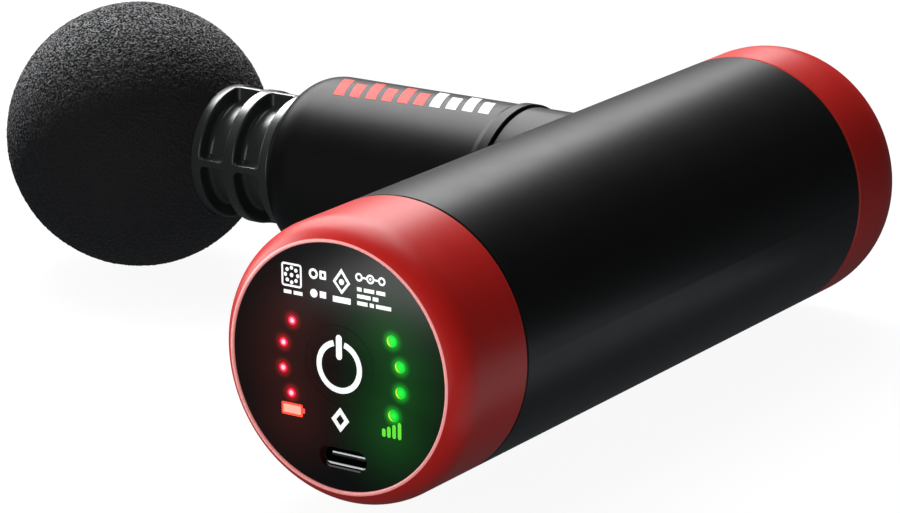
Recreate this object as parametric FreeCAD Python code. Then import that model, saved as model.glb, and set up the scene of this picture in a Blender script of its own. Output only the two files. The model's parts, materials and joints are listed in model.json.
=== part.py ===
import FreeCAD, Part
import math
import os

# Cordless percussion massage gun, in millimetres.
#
# Working frame: the handle's axis is Y. The control panel faces -Y at y = 0, and the handle's closed end is
# at y = HANDLE_LEN. The head's axis is X: it crosses the handle's axis at HEAD_Y and points to -X, where the
# massage ball is. The gun lies down, with +Z up. Every shape is moved by -ORIGIN when it is written, so that
# the part's own origin is the middle of its outline, on the surface that it lies on.

# Handle
HANDLE_R = 24.0
HANDLE_LEN = 146.4
FRONT_SEAM_Y = 19.1
REAR_SEAM_Y = 129.8
WALL = 2.0
BORE_R = HANDLE_R - WALL
EDGE_RUN = 5.5            # half-width of the ellipse that rounds the front cap's edge
EDGE_DEPTH = 5.5          # how far the rounded edge reaches along the handle
REAR_EDGE_RUN = 3.6       # the same for the rear cap, which ends in a flat disc
REAR_EDGE_DEPTH = 7.5
SEAM_EDGE = 0.3           # the small chamfer on both sides of each seam
SPIGOT_R = BORE_R - 0.05
SPIGOT_BORE_R = 20.4
SPIGOT_LEN = 6.0
CAP_FLOOR = 2.4

# Control panel
PANEL_R = 20.65
PANEL_FACE_Y = 0.35
PANEL_T = 1.7
PANEL_BACK_Y = PANEL_FACE_Y + PANEL_T
GASKET_T = 0.3
SHELF_Y = PANEL_BACK_Y + GASKET_T
SHELF_T = 2.0
SHELF_BORE_R = 18.6
BUTTON_R = 6.6
BUTTON_X = 0.25
BUTTON_Z = 0.5
BUTTON_GAP = 0.1
BUTTON_TRAVEL_ROOM = 0.3  # from the panel to the button's flange
STEM_PIN_R = 1.6
STEM_PIN_Y = PANEL_BACK_Y + 1.35
BATTERY_LIGHT_R = 0.78
SPEED_LIGHT_R = 0.98
USB_X = 0.7
USB_Z = -15.25
USB_SHELL_W = 8.94
USB_SHELL_H = 3.16
USB_SHELL_T = 0.3
USB_MOUTH_Y = 1.35
USB_TONGUE_W = 6.6
USB_TONGUE_T = 0.7

# Circuit board
PCB_FACE_Y = 6.6
PCB_T = 1.6
PCB_BACK_Y = PCB_FACE_Y + PCB_T
PCB_R = 20.2
PCB_SCREW_RADIUS = 17.2   # the circle that the screws stand on
PCB_SCREW_R = 0.9
PCB_POST_R = 2.2

# Battery
CELL_R = 9.1
CELL_LEN = 65.0
CELL_Y = 16.4
CELL_X = 9.3
CELL_PLACES = (-CELL_X, CELL_X)
CELL_TIP = 0.8            # how far a cell's button end stands out
INSULATOR_T = 0.2
TAB_T = 0.5
TRAY_Y0 = 13.9
TRAY_Y1 = 83.9
LEAD_X = (-2.6, 0.0, 2.6)
LEAD_Z = 17.5
LEAD_R = 0.8
LEAD_START_Y = PCB_BACK_Y + 1.6
LEAD_NOTCH_W = 9.0

# Drive
HEAD_Y = 98.15
CRANK_THROW = 4.0
ROD_LEN = 30.0
ROD_T = 5.0
WRIST_X = CRANK_THROW - ROD_LEN
CRANK_PIN_R = 3.0
BIG_END_RING = 3.0        # how thick the crank pin's bearing is
WRIST_PIN_R = 2.5
WRIST_PIN_HALF = 9.6
BUSH_T = 1.0
FORK_GAP = 6.6
RUNNING_GAP = 0.05
PISTON_R = 12.0
PISTON_REAR_X = -20.0
PISTON_FRONT_X = -70.0
SOCKET_R = 9.0
SOCKET_DEPTH = 22.0
WHEEL_Y = HEAD_Y + 3.7
WHEEL_T = 5.0
WHEEL_R = 13.0
WHEEL_POCKET_Z = 6.6
SET_SCREW_R = 0.8
SHAFT_R = 2.0
SHAFT_START_Y = WHEEL_Y + 0.6
BRACKET_Y = HEAD_Y + 12.7
BRACKET_T = 3.0
BRACKET_R = 21.8
LUG_RADIUS = 18.6
LUG_R = 2.8
LUG_LEN = 6.5
BRACKET_SCREW_R = 0.95
BEARING_OUTER_R = 5.0
BEARING_W = 4.0
BEARING_SHOULDER_R = 3.4
BEARING_BALL_R = 0.88
RACE_R = 3.5              # the circle that the balls roll on
RACE_GAP = 0.65           # from that circle to each ring
HUB_R = 7.0
STATOR_R = 14.2
STATOR_Y = HEAD_Y + 19.2
STATOR_LEN = 13.0
STATOR_TEETH = 12
TOOTH_W = 1.5
BELL_R = 17.8
BELL_WALL = 1.5
BELL_Y = HEAD_Y + 17.4
BELL_END_Y = HEAD_Y + 38.2

# Head
HEAD_R = 17.38
HEAD_FRONT_X = -77.35     # the foremost point of the edge's full circle
HEAD_REAR_X = -28.0
HEAD_EDGE_R = 7.5
COLLAR_R = 17.85
COLLAR_LEN = 2.05
BOSS_FACE_X = -27.45
BOSS_BORE_R = 13.0
BOSS_BLEND_R = 2.4
MOUTH_R = 13.2
SLEEVE_R = 13.6
WIPER_R = 14.6
WIPER_LEN = 2.0
SLEEVE_FRONT_X = -71.0
SLEEVE_REAR_X = -29.5
HEAD_SCREW_RADIUS = 15.4  # the circle that the screws stand on
HEAD_SCREW_R = 0.75
HEAD_SCREW_CAP_R = 1.5
HEAD_SCREW_SEAT_X = BOSS_FACE_X + 4
SCREW_CLEARANCE = 0.1

# Attachment
NECK_R = 12.7
NECK_WAIST_R = 9.8        # the floor of the pockets between the rings
NECK_CORE_R = 8.0         # the core inside the ball
NECK_THROAT_R = 12.0
BALL_R = 25.75
BALL_X = -117.2
RING_EDGES = [(-96.2, -92.9), (-87.5, -85.0), (-79.4, -77.2)]
RIB_T = 1.5
RIB_TURN = -3.0
POCKET_ROUND = 0.8
POCKET_OVER = 2.0         # how far a pocket's cutter stands out
NECK_RIM_ROUND = 0.4
ANCHOR_R = 14.0
ANCHOR_X0 = BALL_X + 5.5
ANCHOR_X1 = BALL_X + 8.0
STEM_R = SOCKET_R - RUNNING_GAP
STEM_END_X = -49.0
GROOVE_X = STEM_END_X - 6.0
GROOVE_W = 2.2
GROOVE_DEPTH = 1.5

V = FreeCAD.Vector
X = V(1, 0, 0)
Y = V(0, 1, 0)
Z = V(0, 0, 1)
HEAD_CENTRE = V(0, HEAD_Y, 0)
ORIGIN = V((BALL_X - BALL_R + HANDLE_R) / 2, HANDLE_LEN / 2, -BALL_R)


# ---------------------------------------------------------------- helpers

def write(node, shape):
    """Write one piece to its own file, in the part's own frame."""
    placed = shape.copy()
    placed.translate(-ORIGIN)
    placed.exportStep("parts/" + node + ".step")


def group(shapes):
    return Part.makeCompound(shapes)


def along_y(radius, y0, y1, x=0.0, z=0.0):
    return Part.makeCylinder(radius, y1 - y0, V(x, y0, z), Y)


def along_x(radius, x0, x1, y=HEAD_Y, z=0.0):
    return Part.makeCylinder(radius, x1 - x0, V(x0, y, z), X)


def ring_y(outer, inner, y0, y1, x=0.0, z=0.0):
    return along_y(outer, y0, y1, x, z).cut(along_y(inner, y0 - 1, y1 + 1, x, z))


def ring_x(outer, inner, x0, x1):
    return along_x(outer, x0, x1).cut(along_x(inner, x0 - 1, x1 + 1))


def block(x0, x1, y0, y1, z0, z1):
    return Part.makeBox(x1 - x0, y1 - y0, z1 - z0, V(x0, y0, z0))


def centred_block(width, y0, y1, height, x=0.0, z=0.0):
    return block(x - width / 2, x + width / 2, y0, y1, z - height / 2, z + height / 2)


def stadium(width, height, y0, y1, x, z):
    """A slot-shaped bar along Y with fully rounded ends."""
    r = height / 2
    reach = width / 2 - r
    middle = block(x - reach, x + reach, y0, y1, z - r, z + r)
    return middle.fuse([along_y(r, y0, y1, x - reach, z), along_y(r, y0, y1, x + reach, z)]).removeSplitter()


def line(a, b):
    return Part.makeLine(a, b)


def path(points):
    return [line(a, b) for a, b in zip(points, points[1:])]


def turned(edges, centre, axis):
    return Part.Face(Part.Wire(edges)).revolve(centre, axis, 360)


def on_handle(radius, y):
    """A point of a profile that is turned about the handle's axis."""
    return V(radius, y, 0)


def on_head(x, radius):
    """A point of a profile that is turned about the head's axis."""
    return V(x, HEAD_Y + radius, 0)


def turned_y(points):
    corners = [on_handle(r, y) for r, y in points]
    return turned(path(corners + corners[:1]), V(0, 0, 0), Y)


def turned_x(points):
    corners = [on_head(x, r) for x, r in points]
    return turned(path(corners + corners[:1]), HEAD_CENTRE, X)


def polar(radius, degrees):
    angle = math.radians(degrees)
    return radius * math.cos(angle), radius * math.sin(angle)


def spun(shape, count, centre, axis):
    """The shape, repeated count times about an axis."""
    copies = []
    for i in range(count):
        copy = shape.copy()
        copy.rotate(centre, axis, 360.0 * i / count)
        copies.append(copy)
    return copies


def screw_y(radius, tip_y, seat_y, x, z, head_r, head_h):
    """A pan-head screw along Y whose head stands on seat_y, with a cross recess."""
    shank = along_y(radius, tip_y, seat_y, x, z)
    head = along_y(head_r, seat_y, seat_y + head_h, x, z)
    slot_w = head_r * 0.3
    slot_y = seat_y + head_h * 0.45
    cross = centred_block(head_r * 1.2, slot_y, seat_y + head_h + 1, slot_w, x, z)
    other = centred_block(slot_w, slot_y, seat_y + head_h + 1, head_r * 1.2, x, z)
    return shank.fuse(head).cut(cross.fuse(other))


# ---------------------------------------------------------------- handle shells

def cap_edge(run, start_r, flat_y, full_y):
    """The arc of an ellipse from a cap's end face, at the radius start_r, to the handle's full radius."""
    inner = HANDLE_R - run
    share = (start_r - inner) / run
    reach = (full_y - flat_y) / math.sqrt(1 - share ** 2)
    middle = on_handle(inner, full_y)
    ellipse = Part.Ellipse(on_handle(inner, full_y - reach), on_handle(HANDLE_R, full_y), middle)
    return Part.ArcOfEllipse(ellipse, math.asin(share), math.pi / 2).toShape()


def handle_barrel():
    tube = turned_y([
        (0, FRONT_SEAM_Y),
        (HANDLE_R - SEAM_EDGE, FRONT_SEAM_Y),
        (HANDLE_R, FRONT_SEAM_Y + SEAM_EDGE),
        (HANDLE_R, REAR_SEAM_Y - SEAM_EDGE),
        (HANDLE_R - SEAM_EDGE, REAR_SEAM_Y),
        (0, REAR_SEAM_Y),
    ])
    boss = along_x(HEAD_R, BOSS_FACE_X, 0)
    body = tube.fuse(boss)
    joint = [edge for edge in body.Edges if is_boss_joint(edge)]
    body = body.makeFillet(BOSS_BLEND_R, joint)
    body = body.cut(along_y(BORE_R, FRONT_SEAM_Y - 1, REAR_SEAM_Y + 1))
    inside_x = -BORE_R / 2
    body = body.cut(along_x(BOSS_BORE_R, BOSS_FACE_X - 1, inside_x))
    body = body.fuse(bracket_lugs())
    for y, z in head_screw_places():
        body = body.cut(along_x(HEAD_SCREW_R + SCREW_CLEARANCE, BOSS_FACE_X - 1, inside_x, y, z))
        body = body.cut(along_x(HEAD_SCREW_CAP_R + SCREW_CLEARANCE, HEAD_SCREW_SEAT_X, inside_x, y, z))
    return body


def is_boss_joint(edge):
    """True for the curve where the boss runs into the tube, and not for a seam or the boss's face."""
    box = edge.BoundBox
    return box.XMax < -1 and box.XLength > 1 and box.YLength > 1


def lug_places():
    return [polar(LUG_RADIUS, a) for a in (0, 120, 240)]


def bracket_lugs():
    """Three screw lugs on the inside of the tube, which carry the motor bracket."""
    y0 = BRACKET_Y - LUG_LEN
    boss = along_y(LUG_R, y0, BRACKET_Y, LUG_RADIUS)
    web = block(LUG_RADIUS, BORE_R + WALL / 4, y0, BRACKET_Y, -LUG_R, LUG_R)
    thread = along_y(BRACKET_SCREW_R + 0.05, y0 + 1, BRACKET_Y + 1, LUG_RADIUS)
    return spun(boss.fuse(web).cut(thread), 3, V(0, 0, 0), Y)


def head_screw_places():
    places = [polar(HEAD_SCREW_RADIUS, a) for a in (45, 135, 225, 315)]
    return [(HEAD_Y + y, z) for y, z in places]


def front_cap():
    lip_round = 0.3
    panel_hole_r = PANEL_R + 0.05
    lip_r = panel_hole_r + lip_round
    start = on_handle(lip_r, 0)
    lip_end = on_handle(panel_hole_r, lip_round)
    middle_turn = lip_round * (1 - math.sqrt(0.5))
    lip_middle = on_handle(panel_hole_r + middle_turn, middle_turn)
    edges = [cap_edge(EDGE_RUN, lip_r, 0, EDGE_DEPTH)]
    edges += path([
        on_handle(HANDLE_R, EDGE_DEPTH),
        on_handle(HANDLE_R, FRONT_SEAM_Y - SEAM_EDGE),
        on_handle(HANDLE_R - SEAM_EDGE, FRONT_SEAM_Y),
        on_handle(SPIGOT_R, FRONT_SEAM_Y),
        on_handle(SPIGOT_R, FRONT_SEAM_Y + SPIGOT_LEN),
        on_handle(SPIGOT_BORE_R, FRONT_SEAM_Y + SPIGOT_LEN),
        on_handle(SPIGOT_BORE_R, SHELF_Y + SHELF_T),
        on_handle(SHELF_BORE_R, SHELF_Y + SHELF_T),
        on_handle(SHELF_BORE_R, SHELF_Y),
        on_handle(panel_hole_r, SHELF_Y),
        lip_end,
    ])
    edges.append(Part.Arc(lip_end, lip_middle, start).toShape())
    cap = turned(edges, V(0, 0, 0), Y)
    for x, z in pcb_screw_places():
        cap = cap.fuse(along_y(PCB_POST_R, SHELF_Y + 0.2, PCB_FACE_Y, x, z))
        cap = cap.cut(along_y(PCB_SCREW_R + 0.05, SHELF_Y + 1.2, PCB_FACE_Y + 1, x, z))
    return cap


def rear_cap():
    inner = HANDLE_R - REAR_EDGE_RUN
    full_y = HANDLE_LEN - REAR_EDGE_DEPTH
    spigot_end_y = BRACKET_Y + BRACKET_T + 0.1
    edges = [cap_edge(REAR_EDGE_RUN, inner, HANDLE_LEN, full_y)]
    edges += path([
        on_handle(HANDLE_R, full_y),
        on_handle(HANDLE_R, REAR_SEAM_Y + SEAM_EDGE),
        on_handle(HANDLE_R - SEAM_EDGE, REAR_SEAM_Y),
        on_handle(SPIGOT_R, REAR_SEAM_Y),
        on_handle(SPIGOT_R, spigot_end_y),
        on_handle(SPIGOT_BORE_R, spigot_end_y),
        on_handle(SPIGOT_BORE_R, HANDLE_LEN - 3 * CAP_FLOOR),
        on_handle(inner - 3, HANDLE_LEN - CAP_FLOOR),
        on_handle(0, HANDLE_LEN - CAP_FLOOR),
        on_handle(0, HANDLE_LEN),
        on_handle(inner, HANDLE_LEN),
    ])
    return turned(edges, V(0, 0, 0), Y)


# ---------------------------------------------------------------- control panel

def battery_light_places():
    """Four lights on an arc left of the button."""
    return [(-x, z) for x, z in light_arc(radius=11.0, middle=2.0, step=22.7)]


def speed_light_places():
    """Four lights on an arc right of the button."""
    return light_arc(radius=12.3, middle=0.5, step=20.2)


def light_arc(radius, middle, step):
    """Four places, one step of the angle apart, from the top down."""
    return [polar(radius, middle + step * (1.5 - i)) for i in range(4)]


def control_panel():
    panel = along_y(PANEL_R, PANEL_FACE_Y, PANEL_BACK_Y)
    holes = [along_y(BUTTON_R + BUTTON_GAP, 0, SHELF_Y, BUTTON_X, BUTTON_Z)]
    holes.append(stadium(USB_SHELL_W + 0.36, USB_SHELL_H + 0.34, 0, SHELF_Y, USB_X, USB_Z))
    holes += [along_y(BATTERY_LIGHT_R, 0, SHELF_Y, x, z) for x, z in battery_light_places()]
    holes += [along_y(SPEED_LIGHT_R, 0, SHELF_Y, x, z) for x, z in speed_light_places()]
    return panel.cut(holes)


def panel_gasket():
    return ring_y(PANEL_R - 0.15, SHELF_BORE_R + 0.1, PANEL_BACK_Y, SHELF_Y)


def light_pipes(places, radius):
    """Clear pins from the panel's face to just in front of the lights on the board, with a stop collar."""
    front_y = PANEL_FACE_Y - 0.05
    back_y = PCB_FACE_Y - 0.9
    collar = 0.5
    pins = []
    for x, z in places:
        pin = along_y(radius - 0.03, front_y, back_y, x, z)
        pins.append(pin.fuse(along_y(radius + collar, PANEL_BACK_Y, PANEL_BACK_Y + collar, x, z)))
    return group(pins)


def light_chips(places):
    """Each light is a base on the board and a smaller domeless lens on it."""
    step_y = PCB_FACE_Y - 0.3
    front_y = PCB_FACE_Y - 0.75
    chips = []
    for x, z in places:
        base = centred_block(1.6, step_y, PCB_FACE_Y, 0.9, x, z)
        chips.append(base.fuse(centred_block(1.1, front_y, step_y, 0.8, x, z)))
    return group(chips)


def power_button():
    """The round key: its face is flush with the panel, and a flange behind the panel keeps it in."""
    flange_y = PANEL_BACK_Y + BUTTON_TRAVEL_ROOM
    flange_end_y = flange_y + 0.65
    face = along_y(BUTTON_R, PANEL_FACE_Y, flange_y + 0.1, BUTTON_X, BUTTON_Z)
    flange = along_y(BUTTON_R + 1.0, flange_y, flange_end_y, BUTTON_X, BUTTON_Z)
    post = along_y(STEM_PIN_R - 0.1, flange_end_y - 0.05, STEM_PIN_Y, BUTTON_X, BUTTON_Z)
    return face.fuse([flange, post]).removeSplitter()


def switch_stem():
    return along_y(STEM_PIN_R, STEM_PIN_Y, STEM_PIN_Y + 1.6, BUTTON_X, BUTTON_Z)


def switch_body():
    top = STEM_PIN_Y + 0.65
    size = 6.2
    body = centred_block(size, top, PCB_FACE_Y, size, BUTTON_X, BUTTON_Z)
    return body.cut(along_y(STEM_PIN_R + 0.06, top - 1, PCB_FACE_Y - 0.6, BUTTON_X, BUTTON_Z))


def usb_c_shell():
    back_wall = 0.4
    back = PCB_BACK_Y + back_wall
    outside = stadium(USB_SHELL_W, USB_SHELL_H, USB_MOUTH_Y, back, USB_X, USB_Z)
    width = USB_SHELL_W - 2 * USB_SHELL_T
    height = USB_SHELL_H - 2 * USB_SHELL_T
    return outside.cut(stadium(width, height, USB_MOUTH_Y - 1, back - back_wall, USB_X, USB_Z))


def usb_c_tongue():
    """The plastic tongue in the inlet, on a base that fills the shell's back."""
    width = USB_SHELL_W - 2 * USB_SHELL_T - 0.04
    height = USB_SHELL_H - 2 * USB_SHELL_T - 0.04
    base_y = PCB_BACK_Y - 1.0
    base = stadium(width, height, base_y, PCB_BACK_Y, USB_X, USB_Z)
    tongue = centred_block(USB_TONGUE_W, USB_MOUTH_Y + 0.7, base_y + 0.1, USB_TONGUE_T, USB_X, USB_Z)
    return base.fuse(tongue)


# ---------------------------------------------------------------- electronics

def pcb_screw_places():
    return [polar(PCB_SCREW_RADIUS, a) for a in (45, 135, 225, 315)]


def main_pcb():
    board = along_y(PCB_R, PCB_FACE_Y, PCB_BACK_Y)
    front_y = PCB_FACE_Y - 1
    back_y = PCB_BACK_Y + 1
    holes = [stadium(USB_SHELL_W + 0.1, USB_SHELL_H + 0.1, front_y, back_y, USB_X, USB_Z)]
    holes += [along_y(PCB_SCREW_R + 0.2, front_y, back_y, x, z) for x, z in pcb_screw_places()]
    return board.cut(holes)


def pcb_screws():
    tip_y = SHELF_Y + 1.6
    return group([screw_y(PCB_SCREW_R, tip_y, PCB_BACK_Y, x, z, 1.9, 1.2) for x, z in pcb_screw_places()])


def on_board(width, depth, height, x, z):
    """A block that stands on the back of the board."""
    return centred_block(width, PCB_BACK_Y, PCB_BACK_Y + depth, height, x, z)


def control_chips():
    main_chip = on_board(7.0, 0.9, 7.0, 0, 3.0)
    charger = on_board(4.0, 0.8, 4.0, 0, -5.0)
    choke = on_board(5.0, 3.0, 5.0, 0, -11.0)
    return group([main_chip, charger, choke])


def driver_transistors():
    """Three pairs of power transistors, one pair for each phase of the motor."""
    column_x = 12.9
    row_z = (7.0, 0.6, -5.8)
    return group([on_board(4.6, 1.0, 5.4, x, z) for z in row_z for x in (-column_x, column_x)])


def filter_capacitors():
    can_r = 2.4
    can_len = 5.4
    return group([along_y(can_r, PCB_BACK_Y, PCB_BACK_Y + can_len, x, 10.0) for x in (-4.0, 4.0)])


def motor_connector():
    length = 4.2
    housing = on_board(9.0, length, 4.0, 0, LEAD_Z - 0.4)
    sockets = [along_y(LEAD_R + 0.05, LEAD_START_Y - 0.1, PCB_BACK_Y + length + 1, x, LEAD_Z) for x in LEAD_X]
    return housing.cut(sockets)


def motor_leads():
    """The three phase wires, which run straight over the battery and through the motor bracket."""
    end_y = BRACKET_Y + BRACKET_T + 1.2
    return group([along_y(LEAD_R, LEAD_START_Y, end_y, x, LEAD_Z) for x in LEAD_X])


def battery_leads():
    end_y = CELL_Y - INSULATOR_T - TAB_T
    return group([along_y(0.9, PCB_BACK_Y, end_y, x, 0) for x in CELL_PLACES])


# ---------------------------------------------------------------- battery

def battery_cells():
    can_len = CELL_LEN - CELL_TIP
    cells = []
    for x in CELL_PLACES:
        can = along_y(CELL_R, CELL_Y, CELL_Y + can_len, x)
        button_end = along_y(3.6, CELL_Y + can_len - 0.1, CELL_Y + CELL_LEN, x)
        cells.append(can.fuse(button_end))
    return group(cells)


def cell_insulators():
    """Fish-paper rings on the cells' ends, under the strips."""
    can_end_y = CELL_Y + CELL_LEN - CELL_TIP
    rings = []
    for x in CELL_PLACES:
        for y in (CELL_Y - INSULATOR_T, can_end_y):
            rings.append(ring_y(CELL_R - 0.4, 4.2, y, y + INSULATOR_T, x))
    return group(rings)


def nickel_strips():
    """One tab on each cell's near end, and the strip that joins their far ends in series."""
    tab_w = 8.0
    near_y = CELL_Y - INSULATOR_T
    far_y = CELL_Y + CELL_LEN
    tabs = [centred_block(tab_w, near_y - TAB_T, near_y, tab_w, x) for x in CELL_PLACES]
    return group(tabs + [centred_block(2 * CELL_X + tab_w, far_y, far_y + 0.3, 6.0)])


def battery_tray():
    """The open cradle under the cells: a half shell, two end plates and three saddle ribs."""
    outer_r = SPIGOT_BORE_R - 0.2
    skin = 1.4
    rib_t = 1.6
    shell = ring_y(outer_r, outer_r - skin, TRAY_Y0, TRAY_Y1)
    ribs = [along_y(outer_r, y, y + rib_t) for y in (29.2, 49.2, 69.2)]
    upper_half = block(-BORE_R, BORE_R, TRAY_Y0 - 1, TRAY_Y1 + 1, -2, BORE_R)
    near_plate = along_y(outer_r, TRAY_Y0, TRAY_Y0 + skin)
    far_plate = along_y(BORE_R - 0.1, TRAY_Y1 - skin, TRAY_Y1)
    tray = shell.fuse(ribs).cut(upper_half).fuse([near_plate, far_plate])
    for x in CELL_PLACES:
        tray = tray.cut(along_y(CELL_R + 0.15, CELL_Y - 0.6, CELL_Y + CELL_LEN + 0.4, x))
        tray = tray.cut(along_y(5.5, 0, CELL_Y, x))
    lead_notch = centred_block(LEAD_NOTCH_W, 0, HEAD_Y, 6.0, 0, LEAD_Z + 0.8)
    return tray.cut(lead_notch)


def battery_pads():
    """Soft strips that press the cells down into the tray."""
    width = 32.0
    length = 8.0
    lead_notch = centred_block(LEAD_NOTCH_W, 0, HEAD_Y, 14.0, 0, LEAD_Z)
    pads = []
    for y in (28.0, 62.0):
        pad = ring_y(BORE_R - 0.3, CELL_R, y, y + length)
        pad = pad.common(block(-width / 2, width / 2, y, y + length, 8, BORE_R))
        for x in CELL_PLACES:
            pad = pad.cut(along_y(CELL_R + 0.05, 0, HEAD_Y, x))
        pads.append(pad.cut(lead_notch))
    return group(pads)


# ---------------------------------------------------------------- motor

def motor_bracket():
    """The plate across the handle that carries the motor, with the tube for its two bearings."""
    front_y = BRACKET_Y - 1
    back_y = BRACKET_Y + BRACKET_T + 1
    hub_end_y = STATOR_Y + STATOR_LEN
    plate = along_y(BRACKET_R, BRACKET_Y, BRACKET_Y + BRACKET_T)
    hub = along_y(HUB_R - 0.05, BRACKET_Y + 1, hub_end_y)
    body = plate.fuse(hub)
    body = body.cut(along_y(BEARING_SHOULDER_R, front_y, HANDLE_LEN))
    for y in bearing_places():
        body = body.cut(along_y(BEARING_OUTER_R, y, y + BEARING_W))
    body = body.cut(along_y(BEARING_OUTER_R, front_y, BRACKET_Y + 1))
    body = body.cut(along_y(BEARING_OUTER_R, hub_end_y - 1, HANDLE_LEN))
    for x, z in lug_places():
        body = body.cut(along_y(BRACKET_SCREW_R + 0.2, front_y, back_y, x, z))
    lead_slot = centred_block(8.0, front_y, back_y, 3.2, 0, LEAD_Z)
    return body.cut(lead_slot)


def bearing_places():
    inset = 0.5
    return [BRACKET_Y + inset, STATOR_Y + STATOR_LEN - BEARING_W - inset]


def bracket_screws():
    tip_y = BRACKET_Y - 5
    seat_y = BRACKET_Y + BRACKET_T
    return group([screw_y(BRACKET_SCREW_R, tip_y, seat_y, x, z, 1.6, 1.2) for x, z in lug_places()])


def race_groove(y):
    """The space that the balls roll in, in the bearing that starts at y."""
    return Part.makeTorus(RACE_R, BEARING_BALL_R + 0.07, V(0, y + BEARING_W / 2, 0), Y)


def bearing_outer_rings():
    """The outer races, with a shallow groove for the balls."""
    rings = []
    for y in bearing_places():
        ring = ring_y(BEARING_OUTER_R - 0.02, RACE_R + RACE_GAP, y, y + BEARING_W)
        rings.append(ring.cut(race_groove(y)))
    return group(rings)


def bearing_inner_rings():
    rings = []
    for y in bearing_places():
        ring = ring_y(RACE_R - RACE_GAP, SHAFT_R + 0.01, y, y + BEARING_W)
        rings.append(ring.cut(race_groove(y)))
    return group(rings)


def bearing_balls():
    """Seven balls in each bearing, held by a thin cage ring."""
    cage_half = 0.25
    cage_half_w = 0.35
    pieces = []
    for y in bearing_places():
        middle = y + BEARING_W / 2
        cage = ring_y(RACE_R + cage_half, RACE_R - cage_half, middle - cage_half_w, middle + cage_half_w)
        ball = Part.makeSphere(BEARING_BALL_R, V(RACE_R, middle, 0))
        pieces.append(cage.fuse(spun(ball, 7, V(0, 0, 0), Y)))
    return group(pieces)


def stator_core():
    """Twelve T-shaped teeth round a hub."""
    y1 = STATOR_Y + STATOR_LEN
    tip_t = 1.2
    hub = ring_y(HUB_R + 1.4, HUB_R, STATOR_Y, y1)
    tooth = centred_block(6.0, STATOR_Y, y1, TOOTH_W, HUB_R + 3.9)
    tip_sector = centred_block(4.0, STATOR_Y, y1, 5.2, STATOR_R - 1)
    tip = ring_y(STATOR_R, STATOR_R - tip_t, STATOR_Y, y1).common(tip_sector)
    return hub.fuse(spun(tooth.fuse(tip), STATOR_TEETH, V(0, 0, 0), Y)).removeSplitter()


def stator_windings():
    """A coil of copper round each tooth."""
    start = HUB_R + 1.6
    end = STATOR_R - 1.35
    middle = (start + end) / 2
    over = 1.1
    fit = 0.05
    coil = centred_block(end - start, STATOR_Y - over, STATOR_Y + STATOR_LEN + over, 3.1, middle)
    long_edges = [edge for edge in coil.Edges if abs(edge.tangentAt(edge.FirstParameter).x) > 0.9]
    coil = coil.makeFillet(0.7, long_edges)
    tooth = centred_block(9.0, STATOR_Y - fit, STATOR_Y + STATOR_LEN + fit, TOOTH_W + 2 * fit, middle)
    return group(spun(coil.cut(tooth), STATOR_TEETH, V(0, 0, 0), Y))


def rotor_bell():
    floor_y = BELL_END_Y - 1.8
    hub_y = BELL_END_Y - 5
    hub_r = 5.5
    bevel = 1.2
    cup = turned_y([
        (SHAFT_R + 0.01, hub_y),
        (hub_r, hub_y),
        (hub_r, floor_y),
        (BELL_R - BELL_WALL, floor_y),
        (BELL_R - BELL_WALL, BELL_Y),
        (BELL_R, BELL_Y),
        (BELL_R, BELL_END_Y - bevel),
        (BELL_R - bevel, BELL_END_Y),
        (SHAFT_R + 0.01, BELL_END_Y),
    ])
    window = along_y(2.6, floor_y - 2, BELL_END_Y + 1, (hub_r + BELL_R - BELL_WALL) / 2)
    return cup.cut(spun(window, 6, V(0, 0, 0), Y))


def rotor_magnets():
    """Fourteen flat magnets glued inside the bell."""
    y0 = STATOR_Y - 0.5
    y1 = STATOR_Y + STATOR_LEN + 0.5
    inner = STATOR_R + 0.45
    ring = ring_y(BELL_R - BELL_WALL - 0.02, inner, y0, y1)
    gap = centred_block(6.0, y0 - 1, y1 + 1, 0.5, BELL_R - 2)
    slotted = ring.cut(spun(gap, 14, V(0, 0, 0), Y))
    return group(slotted.Solids)


def motor_shaft():
    return along_y(SHAFT_R, SHAFT_START_Y, BELL_END_Y + 0.8)


def crank_wheel():
    """The disc on the shaft's end. Two pockets on the crank's side leave the other side heavier."""
    wheel = along_y(WHEEL_R, WHEEL_Y, WHEEL_Y + WHEEL_T)
    hub = along_y(4.6, WHEEL_Y + WHEEL_T - 0.1, BRACKET_Y - 1.2)
    wheel = wheel.fuse(hub)
    wheel = wheel.cut(along_y(SHAFT_R, SHAFT_START_Y, BRACKET_Y))
    wheel = wheel.cut(along_y(CRANK_PIN_R + RUNNING_GAP, WHEEL_Y - 1, WHEEL_Y + 0.5, CRANK_THROW))
    for z in (-WHEEL_POCKET_Z, WHEEL_POCKET_Z):
        wheel = wheel.cut(along_y(3.3, WHEEL_Y - 1, WHEEL_Y + WHEEL_T + 1, 6.0, z))
    return wheel.cut(upright_pin(SET_SCREW_R + 0.02, SHAFT_R - 1, 8.0))


def upright_pin(radius, z0, length):
    """A pin along Z, over the shaft, in the middle of the crank wheel's hub."""
    return Part.makeCylinder(radius, length, V(0, WHEEL_Y + WHEEL_T + 1.4, z0), Z)


def wheel_set_screw():
    screw_len = 2.4
    socket_len = 0.8
    z0 = SHAFT_R + 0.02
    screw = upright_pin(SET_SCREW_R, z0, screw_len)
    return screw.cut(upright_pin(SET_SCREW_R / 2, z0 + screw_len - socket_len, socket_len + 1))


# ---------------------------------------------------------------- crank drive

def crank_pin():
    """It seats in the wheel, but stops 0.3 mm short of it, because the linkage is opened here."""
    return along_y(CRANK_PIN_R, HEAD_Y - 3.2, WHEEL_Y - 0.3, CRANK_THROW).cut(crank_pin_clip())


def crank_pin_clip():
    return ring_y(CRANK_PIN_R + 1.2, CRANK_PIN_R - 0.4, HEAD_Y - 3.1, HEAD_Y - 2.6, CRANK_THROW)


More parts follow.
